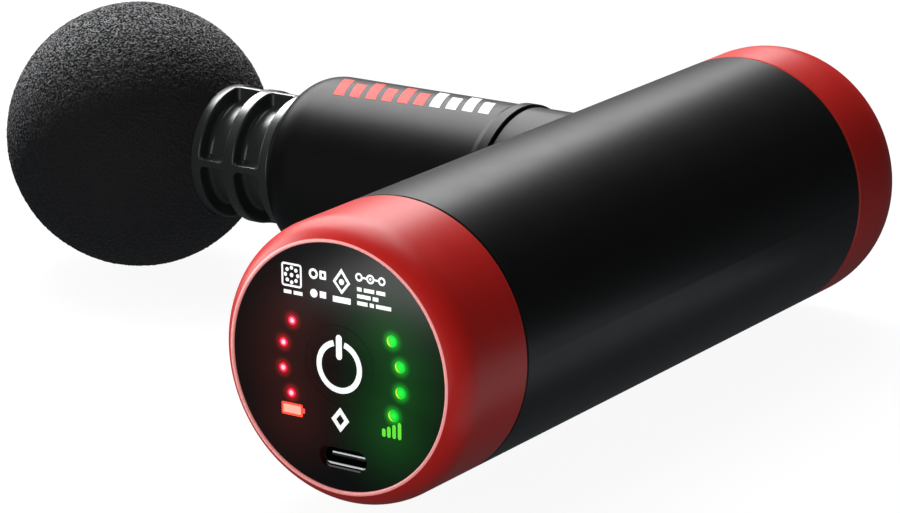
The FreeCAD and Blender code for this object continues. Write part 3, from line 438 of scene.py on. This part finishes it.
MATERIALS = build_materials()
LIT = {
    "battery_light_pipes": light_finish("red_light", RED_LIGHTS, RED_R, PINK, CRIMSON, CRIMSON),
    "speed_light_pipes": light_finish("green_light", GREEN_LIGHTS, GREEN_R, LIME, GREEN, YELLOW),
}


def dress(obj, material):
    obj.data.materials.clear()
    obj.data.materials.append(material)


def dress_frame():
    slots = {p["node"]: p["material_slot"] for p in frame["record"]["subparts"]}
    for node, obj in NODES.items():
        dress(obj, LIT[node] if node in LIT else MATERIALS[slots[node]])


# ---------------------------------------------------------------- pieces

PRINT_T = 0.03 * MM
PRINT_SINK = 0.002 * MM           # how deep a print starts inside the panel


def piece(name, shapes, body, material):
    """One object that is made of closed shapes, and that rides on a body."""
    vertices, faces = joined(shapes)
    mesh = bpy.data.meshes.new(name)
    mesh.from_pydata([tuple(v) for v in vertices], [], faces)
    mesh.validate()
    mesh.update()
    obj = bpy.data.objects.new(name, mesh)
    bpy.context.scene.collection.objects.link(obj)
    dress(obj, material)
    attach(obj, body)


def joined(shapes):
    """Several shapes as one mesh, each a closed solid whose faces point outward."""
    vertices, faces = [], []
    for some, around in shapes:
        start = len(vertices)
        some = [Vector(v) for v in some]
        if volume(some, around) < 0:
            around = [f[::-1] for f in around]
        vertices += some
        faces += [[start + i for i in f] for f in around]
    return vertices, faces


def volume(vertices, faces):
    """Six times the volume that the faces enclose, negative where they point inward."""
    total = 0.0
    for f in faces:
        for i in range(1, len(f) - 1):
            total += vertices[f[0]].dot(vertices[f[i]].cross(vertices[f[i + 1]]))
    return total


def band(outer, inner, lift, closed):
    """A flat band with a thickness, between two lines of points."""
    n = len(outer)
    vertices = []
    for line, side in ((outer, 0), (inner, 0), (inner, 1), (outer, 1)):
        vertices += [lift(p, side) for p in line]
    faces = []
    for i in range(n if closed else n - 1):
        j = (i + 1) % n
        for k in range(4):
            m = (k + 1) % 4
            faces.append([k * n + i, m * n + i, m * n + j, k * n + j])
    if not closed:
        faces.append([0, n, 2 * n, 3 * n][::-1])
        faces.append([n - 1, 2 * n - 1, 3 * n - 1, 4 * n - 1])
    return vertices, faces


def plate(outline, lift):
    """A flat plate with a thickness, inside one outline."""
    n = len(outline)
    vertices = [lift(p, 0) for p in outline] + [lift(p, 1) for p in outline]
    faces = [list(range(n))[::-1], list(range(n, 2 * n))]
    faces += [[i, (i + 1) % n, n + (i + 1) % n, n + i] for i in range(n)]
    return vertices, faces


def block(x0, x1, y0, y1, z0, z1):
    """A box."""
    vertices = [(x, y, z) for z in (z0, z1) for x, y in ((x0, y0), (x1, y0), (x1, y1), (x0, y1))]
    faces = [[3, 2, 1, 0], [4, 5, 6, 7]]
    faces += [[i, (i + 1) % 4, 4 + (i + 1) % 4, 4 + i] for i in range(4)]
    return vertices, faces


# ---------------------------------------------------------------- prints on the panel
# Places and sizes are in millimetres, and places are right of and above the handle's axis. A box is given
# by its left, foot, right and top, a round shape by its middle and radius, and a dash by its ends and height.

THIN = 0.34
HEAVY = 0.42
SHARP = 0.1                       # corner radii of small boxes
SOFT = 0.2

POWER_DROP = 0.28
POWER_R = 3.96
POWER_LINE = 0.98
POWER_OPEN = 15                   # half of the ring's opening, in degrees
POWER_STROKE = (1.75, 4.8)        # the upright stroke's ends, above the ring's middle
POWER_STROKE_W = 1.15

DOTS_FRAME = (-10.85, 12.08, -6.85, 16.05)
DOTS_CORNER = 0.5
DOTS_AT = (-8.85, 14.06)
DOTS_R = 1.22
DOT_R = 0.33
MIDDLE_DOT_R = 0.36
DOTS_DASHES = ((-10.45, -8.95, 11.2), (-8.5, -6.75, 11.2))
DOTS_DASH_W = 0.62

MARK_RING = (-4.55, 15.0, 0.68)
MARK_SQUARE = (-3.35, 14.3, -2.05, 15.75)
MARK_DOT = (-4.5, 11.75, 0.72)
MARK_DASH = (-3.35, -2.1, 11.75)
MARK_DASH_W = 1.1

STACK_AT = (0.95, 14.45)
STACK_OUTER = (1.7, 2.3, 2.0)     # half the width, and the way up and down from the middle
STACK_INNER = (1.13, 1.53, 1.33)
STACK_DOT = (0.95, 14.5, 0.5)
STACK_DASH = (-0.8, 2.7, 11.5)
STACK_DASH_W = 1.0

RINGS_Z = 15.85
RINGS_X = (4.35, 6.55, 8.75)
RING_R = 0.55
MIDDLE_RING_R = 0.62
RINGS_DOT_R = 0.22
LINKS = ((5.05, 5.78, RINGS_Z), (7.32, 8.05, RINGS_Z))
LINK_W = 0.32

DASHES_X = 3.95
DASHES_GAP = 0.42
DASHES_W = 0.66
DASHES = {13.85: (0.9, 2.0, 1.7), 12.7: (2.6, 1.1), 11.55: (2.0, 0.8, 2.9)}     # lengths in each row

BATTERY = (-10.95, -9.3, -7.5, -7.9)
# the painted red glow round the battery icon
BATTERY_GLOW_OUTLINE = (-11.3, -9.65, -7.15, -7.55)
BATTERY_CORNER = 0.25
BATTERY_NUB = (-7.15, -8.95, -6.7, -8.1)
NUB_CORNER = 0.12

LEVEL_FOOT = -9.6
LEVEL_W = 0.68
LEVELS = ((8.79, -8.88), (9.77, -8.40), (10.79, -7.94), (11.84, -7.42))         # place and top of each

LOZENGE_AT = (0.3, -8.7)
LOZENGE_OUTER = (1.75, 2.1, 2.1)
LOZENGE_INNER = (0.8, 0.95, 0.95)


def on_panel(point, side):
    """A point on the panel's face, at the lower or the upper side of a print."""
    x, z = point
    return (HANDLE.x + x * MM, PANEL_FACE + PRINT_SINK - side * PRINT_T, HANDLE.z + z * MM)


def polar(radius, degrees):
    return radius * math.cos(math.radians(degrees)), radius * math.sin(math.radians(degrees))


def arc(cx, cz, r, a0, a1, steps):
    angles = [math.radians(a0 + (a1 - a0) * i / steps) for i in range(steps + 1)]
    return [(cx + r * math.cos(a), cz + r * math.sin(a)) for a in angles]


def circle(cx, cz, r, steps):
    return arc(cx, cz, r, 0, 360, steps)[:-1]


def ring(cx, cz, r, width, steps=20):
    half = width / 2
    return band(circle(cx, cz, r + half, steps), circle(cx, cz, r - half, steps), on_panel, True)


def part_ring(cx, cz, r, width, a0, a1, steps):
    half = width / 2
    return band(arc(cx, cz, r + half, a0, a1, steps), arc(cx, cz, r - half, a0, a1, steps), on_panel, False)


def disc(cx, cz, r, steps=12):
    return plate(circle(cx, cz, r, steps), on_panel)


def lozenge(place, outer, inner):
    """A band between two four-sided outlines that stand on their points."""
    cx, cz = place
    lines = [[(cx - w, cz), (cx, cz + up), (cx + w, cz), (cx, cz - down)] for w, up, down in (outer, inner)]
    return band(*lines, on_panel, True)


def stroke(x0, z0, x1, z1, width):
    """A straight stroke with round ends."""
    along = math.degrees(math.atan2(z1 - z0, x1 - x0))
    r = width / 2
    outline = arc(x1, z1, r, along - 90, along + 90, 8) + arc(x0, z0, r, along + 90, along + 270, 8)
    return plate(outline, on_panel)


def dash(x0, x1, z, width):
    """A level stroke with square ends."""
    r = width / 2
    return plate([(x0, z - r), (x1, z - r), (x1, z + r), (x0, z + r)], on_panel)


def rounded_box(x0, z0, x1, z1, r):
    outline = arc(x1 - r, z0 + r, r, -90, 0, 6) + arc(x1 - r, z1 - r, r, 0, 90, 6)
    return outline + arc(x0 + r, z1 - r, r, 90, 180, 6) + arc(x0 + r, z0 + r, r, 180, 270, 6)


def box_line(x0, z0, x1, z1, r, width):
    inner = rounded_box(x0 + width, z0 + width, x1 - width, z1 - width, max(r - width, 0.05))
    return band(rounded_box(x0, z0, x1, z1, r), inner, on_panel, True)


def printed(name, shapes, material, body="handle"):
    piece(name, shapes, body, material)


def power_icon(ink):
    """A ring that is open at the top, with an upright stroke in the opening."""
    cx = (BUTTON.x - HANDLE.x) / MM
    cz = (BUTTON.z - HANDLE.z) / MM - POWER_DROP
    foot, top = POWER_STROKE
    shapes = [part_ring(cx, cz, POWER_R, POWER_LINE, 90 + POWER_OPEN, 450 - POWER_OPEN, 40)]
    shapes.append(stroke(cx, cz + foot, cx, cz + top, POWER_STROKE_W))
    printed("print_power", shapes, ink, "power_button")


def framed_dots(ink):
    """A rounded frame round a ring of dots, over two dashes."""
    cx, cz = DOTS_AT
    shapes = [box_line(*DOTS_FRAME, DOTS_CORNER, THIN), disc(cx, cz, MIDDLE_DOT_R)]
    for k in range(8):
        x, z = polar(DOTS_R, 45 * k)
        shapes.append(disc(cx + x, cz + z, DOT_R))
    shapes += [dash(*place, DOTS_DASH_W) for place in DOTS_DASHES]
    printed("print_dots", shapes, ink)


def plain_marks(ink):
    """A ring beside a square, over a dot and a bar."""
    shapes = [ring(*MARK_RING, HEAVY), box_line(*MARK_SQUARE, SOFT, HEAVY)]
    shapes += [disc(*MARK_DOT, 20), dash(*MARK_DASH, MARK_DASH_W)]
    printed("print_marks", shapes, ink)


def stacked_mark(ink):
    """A lozenge with a dot in it, over one broad bar."""
    shapes = [lozenge(STACK_AT, STACK_OUTER, STACK_INNER), disc(*STACK_DOT, 16)]
    shapes.append(dash(*STACK_DASH, STACK_DASH_W))
    printed("print_stack", shapes, ink)


def linked_rings(ink):
    """Three rings in a row, joined by dashes, with a dot in the middle one."""
    left, middle, right = RINGS_X
    shapes = [ring(left, RINGS_Z, RING_R, THIN), ring(middle, RINGS_Z, MIDDLE_RING_R, THIN, 24)]
    shapes += [ring(right, RINGS_Z, RING_R, THIN), disc(middle, RINGS_Z, RINGS_DOT_R)]
    shapes += [dash(*place, LINK_W) for place in LINKS]
    printed("print_rings", shapes, ink)


def rating_dashes(ink):
    """Three rows of short dashes where the rating would stand."""
    shapes = []
    for z, lengths in DASHES.items():
        x = DASHES_X
        for length in lengths:
            shapes.append(dash(x, x + length, z, DASHES_W))
            x += length + DASHES_GAP
    printed("print_dashes", shapes, ink)


def small_mark(ink):
    """A plain lozenge under the button."""
    printed("print_lozenge", [lozenge(LOZENGE_AT, LOZENGE_OUTER, LOZENGE_INNER)], ink)


def battery_icon(ink, glare):
    """A battery on its side, pale in the middle, with a painted red glow drawn as an outline round its edge.
    """
    printed("print_battery", [plate(rounded_box(*BATTERY, SHARP), on_panel)], ink)
    # painted glow: a red outline that emits strongly round the battery, with the nub in the same ink
    rim = box_line(*BATTERY_GLOW_OUTLINE, BATTERY_CORNER, THIN)
    nub = plate(rounded_box(*BATTERY_NUB, NUB_CORNER), on_panel)
    printed("print_battery_glow", [rim, nub], glare)


def level_icon(ink):
    """Four bars that grow to the right."""
    printed("print_level", [stroke(x, LEVEL_FOOT, x, top, LEVEL_W) for x, top in LEVELS], ink)


def panel_prints():
    # painted glow: the white prints have no lamp behind them, yet emit; the red and the green icons are lit
    # from behind
    white = print_finish("print_white", (0.86, 0.88, 0.88), 0.75)
    red = print_finish("print_red", (1.0, 0.42, 0.32), 0.8)
    green = print_finish("print_green", (0.10, 0.62, 0.03), 1.0)
    # the ink of the painted red glow round the battery
    glare = print_finish("print_glare", (1.0, 0.05, 0.03), 1.6)
    for draw in (power_icon, framed_dots, plain_marks, stacked_mark, linked_rings, rating_dashes, small_mark):
        draw(white)
    battery_icon(red, glare)
    level_icon(green)


# ---------------------------------------------------------------- charging inlet

CONTACTS = 12
CONTACT_PITCH = 0.5 * MM
CONTACT_HALF_W = 0.15 * MM
CONTACT_HALF_T = 0.02 * MM
CONTACT_RISE = 0.36 * MM          # from the tongue's middle to the contacts on one side
CONTACT_START = 0.1 * MM
CONTACT_END = 3.6 * MM
TIP_HALF_W = 3.2 * MM
TIP_LOW = 0.06 * MM
TIP_TOP = 0.33 * MM
TIP_FRONT = 0.03 * MM
TIP_BACK = 0.05 * MM


def usb_contacts():
    """Flat contacts on both sides of the tongue in the charging inlet, and a painted highlight along the
    tongue's front edge.
    """
    middle = centre("usb_c_tongue")
    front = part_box("usb_c_tongue")[0].y
    shapes = []
    for side in (-1, 1):
        z = middle.z + side * CONTACT_RISE
        for i in range(CONTACTS):
            x = middle.x + (i - (CONTACTS - 1) / 2) * CONTACT_PITCH
            shapes.append(block(x - CONTACT_HALF_W, x + CONTACT_HALF_W, front + CONTACT_START,
                                front + CONTACT_END, z - CONTACT_HALF_T, z + CONTACT_HALF_T))
    piece("usb_c_contacts", shapes, "handle", MATERIALS["nickel"])
    tip = block(middle.x - TIP_HALF_W, middle.x + TIP_HALF_W, front - TIP_FRONT, front + TIP_BACK,
                middle.z + TIP_LOW, middle.z + TIP_TOP)
    # painted highlight: a pale strip that glows at the tongue's front edge
    painted_highlight = print_finish("usb_bright", PAINTED_HIGHLIGHT_STEEL[:3], 0.35)
    piece("usb_c_tongue_tip", [tip], "handle", painted_highlight)


# ---------------------------------------------------------------- bars on the head

STRIPE_INSET = 10.26 * MM
STRIPE_PITCH = 3.45 * MM
STRIPE_WIDTH = 2.3 * MM
STRIPE_LEAN = -0.10 * MM          # along X, for each degree up
STRIPE_LOW = 69.0
STRIPE_CLIMB = 0.6                # degrees from one bar's foot to the next one's
STRIPE_RISE = 24.0
STRIPE_SHARES = (1.0, 0.72)       # of the rise, in turn
STRIPE_STEPS = 10
STRIPE_SINK = 0.004 * MM
RED_BARS = 6
ALL_BARS = 10


def on_head(point, side):
    """A point on the head's skin: metres along X, and degrees up from the side that the panel faces."""
    x, degrees = point
    a = math.radians(degrees)
    r = HEAD_R + side * PRINT_T - STRIPE_SINK
    return (x, HEAD.y - r * math.cos(a), HEAD.z + r * math.sin(a))


def head_stripe(i):
    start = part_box("head_housing")[0].x + STRIPE_INSET + i * STRIPE_PITCH
    foot = STRIPE_LOW + STRIPE_CLIMB * i
    rise = STRIPE_RISE * STRIPE_SHARES[i % 2]
    angles = [foot + rise * k / STRIPE_STEPS for k in range(STRIPE_STEPS + 1)]
    front = [(start + (angle - foot) * STRIPE_LEAN, angle) for angle in angles]
    back = [(x + STRIPE_WIDTH, angle) for x, angle in front]
    return band(front, back, on_head, False)


def head_stripes():
    """A row of slanted bars along the head's upper side, the first ones red and the rest white, all with a
    painted glow.
    """
    # painted glow: the printed bars emit though no lamp lies behind them
    red = print_finish("stripe_red", (0.90, 0.06, 0.05), 0.45)
    white = print_finish("stripe_white", (0.86, 0.86, 0.86), 0.45)
    bars = [head_stripe(i) for i in range(ALL_BARS)]
    piece("stripes_red", bars[:RED_BARS], "handle", red)
    piece("stripes_white", bars[RED_BARS:], "handle", white)


# ---------------------------------------------------------------- foam ball

POCKET_R = 12.72 * MM             # the neck's anchor fills this pocket
POCKET_FLOOR = 20.9 * MM          # from the ball's middle
FLOOR_SHARE = 0.93                # of the way from the pocket's axis to its mouth
MOUTH_FADE = 0.02                 # radians
PORE_MEAN = 0.16
PORE_WAVES = (                    # waves in a millimetre, depth in millimetres, and shift
    (1.9, 0.14, Vector((0, 0, 0))),
    (3.7, 0.09, Vector((7.1, 3.3, 1.9))),
    (0.12, 0.05, Vector((0, 0, 0))),
)


def pore_depth(u):
    """How far the foam's surface lies below the ball at a direction."""
    p = u * (BALL_R / MM)
    depth = PORE_MEAN
    for rate, size, shift in PORE_WAVES:
        depth += size * noise.noise(p * rate + shift)
    return max(0.0, depth) * MM


def foam_places(unit):
    """Where the skin's points lie from the ball's middle, for their directions from it."""
    depth = np.array([pore_depth(Vector(u)) for u in unit])
    mouth = math.asin(POCKET_R / BALL_R)
    angle = np.arccos(np.clip(unit[:, 0], -1, 1))
    radius = BALL_R - depth * np.clip((angle - mouth) / MOUTH_FADE, 0, 1)
    place = unit * radius[:, None]
    inside = angle < mouth
    share = angle[inside] / mouth
    around = unit[inside][:, 1:]
    around /= np.maximum(np.linalg.norm(around, axis=1), 1e-9)[:, None]
    along = np.interp(share, [FLOOR_SHARE, 1.0], [POCKET_FLOOR, BALL_R * math.cos(mouth)])
    across = np.interp(share, [0.0, FLOOR_SHARE], [0.0, POCKET_R])
    place[inside] = np.column_stack([along, around * across[:, None]])
    return place


def foam_skin():
    """The foam ball, with its open pores in the surface itself, and a pocket for the neck's anchor."""
    bpy.ops.mesh.primitive_ico_sphere_add(subdivisions=8, radius=1.0)
    ball = bpy.context.object
    ball.name = "foam_ball_skin"
    ball.data.name = "foam_ball_skin"
    unit = np.array([v.co for v in ball.data.vertices], float)
    unit /= np.linalg.norm(unit, axis=1)[:, None]
    place = foam_places(unit) + np.array(BALL)
    ball.data.vertices.foreach_set("co", place.astype(np.float32).ravel())
    ball.data.update()
    ball.data.shade_smooth()
    dress(ball, MATERIALS["foam"])
    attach(ball, "attachment")
    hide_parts("foam_ball")
    return ball


# ---------------------------------------------------------------- studio

MIDDLE = Vector((0, 0, 0.03))     # what most of the lights aim at
FLOOR_Z = -0.1 * MM
FLOOR_HALF = 8.0
DOME_R = 10.0
FLOOR_GLOW = 0.93
FLOOR_BODY = 0.10
DIM = (0.03, 0.03, 0.031, 1)      # the surroundings
DIM_BELOW = (0.085, 0.095, 0.100, 1)
COOL = (0.9, 0.97, 1.0)


def backdrop():
    """A pale floor and a pale dome, which neither light the gun nor show in its gloss."""
    s = FLOOR_HALF
    square = bpy.data.meshes.new("floor")
    square.from_pydata([(x, y, FLOOR_Z) for x, y in ((-s, -s), (s, -s), (s, s), (-s, s))], [], [(0, 1, 2, 3)])
    floor = bpy.data.objects.new("floor", square)
    bpy.context.scene.collection.objects.link(floor)
    bpy.ops.mesh.primitive_uv_sphere_add(segments=48, ring_count=24, radius=DOME_R)
    dome = bpy.context.object
    dome.name = "dome"
    for obj, body, shine in ((floor, FLOOR_BODY, FLOOR_GLOW), (dome, 0.0, 1.0)):
        g = Graph(obj.name + "_pale")
        g.set(Base_Color=g.mix(g.noise(0.5, 2.0), rgba((body,) * 3), rgba((body,) * 3, 1.04)))
        g.set(Roughness=0.9, Specular_IOR_Level=0.0)
        g.set(Emission_Color=(1, 1, 1, 1), Emission_Strength=shine)
        dress(obj, g.material)
        obj.visible_diffuse = False
        obj.visible_glossy = False
        obj.visible_shadow = False


def soft_light(name, place, aim, size, shine, colour=(1, 1, 1)):
    """A rectangular light, with its brightness given as radiance."""
    light = bpy.data.lights.new(name, "AREA")
    light.shape = "RECTANGLE"
    light.size, light.size_y = size
    light.energy = shine * math.pi * size[0] * size[1]
    light.color = colour
    obj = bpy.data.objects.new(name, light)
    obj.location = place
    obj.rotation_euler = (Vector(aim) - Vector(place)).to_track_quat("-Z", "Y").to_euler()
    obj.visible_camera = False
    bpy.context.scene.collection.objects.link(obj)
    return obj


def low_card(name, x, y, size, shine, colour=(1, 1, 1)):
    """A light that lies just above the floor and faces up."""
    soft_light(name, (x, y, MM), (x, y, 1), size, shine, colour)


def link_light(light, state, *objects):
    """Let a light reach only some objects, or all but these."""
    group = bpy.data.collections.new(light.name + "_reach")
    for obj in objects:
        group.objects.link(obj)
    for member in group.collection_objects:
        member.light_linking.link_state = state
    light.light_linking.receiver_collection = group


def studio(foam):
    """Soft lights behind, above, in front and at the left, and two low cards that the gloss reflects."""
    backdrop()
    key = soft_light("key", MIDDLE + direction(140, 40) * 1.7, MIDDLE, (1.7, 1.3), 4.0)
    top = soft_light("top", MIDDLE + direction(140, 66) * 1.6, MIDDLE, (1.2, 1.2), 3.3)
    rim = soft_light("rim", BALL + RIM_WAY * 1.5, BALL, (0.9, 0.9), 18.0)
    front = soft_light("front", MIDDLE + direction(-88, 10) * 1.3, MIDDLE, (0.7, 0.7), 2.7)
    left = soft_light("left", MIDDLE + direction(-172, 14) * 1.5, MIDDLE, (0.8, 0.8), 6.0)
    link_light(rim, "INCLUDE", foam, NODES["attachment_neck"])
    link_light(key, "EXCLUDE", foam)
    link_light(top, "EXCLUDE", foam)
    link_light(front, "EXCLUDE", foam)
    link_light(left, "EXCLUDE", foam, NODES["head_housing"])
    low_card("panel_card", 0.09, -0.295, (0.22, 0.25), 3.0)
    low_card("side_card", 0.15, -0.01, (0.10, 0.16), 0.4, COOL)
    surroundings()


def surroundings():
    """Dim all round, and a little less dim below."""
    world = bpy.data.worlds.new("studio")
    world.use_nodes = True
    bpy.context.scene.world = world
    tree = world.node_tree
    place = tree.nodes.new("ShaderNodeTexCoord")
    parts = tree.nodes.new("ShaderNodeSeparateXYZ")
    ramp = tree.nodes.new("ShaderNodeMapRange")
    tint = tree.nodes.new("ShaderNodeMix")
    tint.data_type = "RGBA"
    ramp.interpolation_type = "SMOOTHSTEP"
    for socket, value in zip(ramp.inputs[1:5], (-0.35, 0.12, 1.0, 0.0)):
        socket.default_value = value
    tint.inputs[6].default_value = DIM
    tint.inputs[7].default_value = DIM_BELOW
    tree.links.new(place.outputs["Generated"], parts.inputs[0])
    tree.links.new(parts.outputs["Z"], ramp.inputs[0])
    tree.links.new(ramp.outputs[0], tint.inputs[0])
    tree.links.new(tint.outputs[2], tree.nodes["Background"].inputs["Color"])


# ---------------------------------------------------------------- camera
# Its azimuth turns from -Y towards +X, and its roll turns the picture; both, and its height, are degrees.

VIEW_AZIMUTH = 34.145
VIEW_HEIGHT = 16.602
VIEW_ROLL = -0.417
VIEW_DISTANCE = 0.71209
VIEW_AIM = Vector((0.03741, -0.00825, 0.02455))
LENS = 162.6
SENSOR = 36.0


def camera():
    """A camera at the viewing angle, which looks at a point beside the gun's middle."""
    roll = math.radians(VIEW_ROLL)
    back = direction(VIEW_AZIMUTH - 90, VIEW_HEIGHT)
    right = direction(VIEW_AZIMUTH, 0)
    up = back.cross(right)
    turned_right = right * math.cos(roll) + up * math.sin(roll)
    turned_up = up * math.cos(roll) - right * math.sin(roll)
    data = bpy.data.cameras.new("camera")
    data.lens = LENS
    data.sensor_width = SENSOR
    data.clip_start = 0.05
    data.clip_end = 50.0
    obj = bpy.data.objects.new("camera", data)
    basis = Matrix((turned_right, turned_up, back)).transposed()
    obj.matrix_world = Matrix.Translation(VIEW_AIM + back * VIEW_DISTANCE) @ basis.to_4x4()
    bpy.context.scene.collection.objects.link(obj)
    bpy.context.scene.camera = obj


dress_frame()
panel_prints()
usb_contacts()
head_stripes()
studio(foam_skin())
camera()
bpy.context.scene.view_settings.view_transform = "Standard"
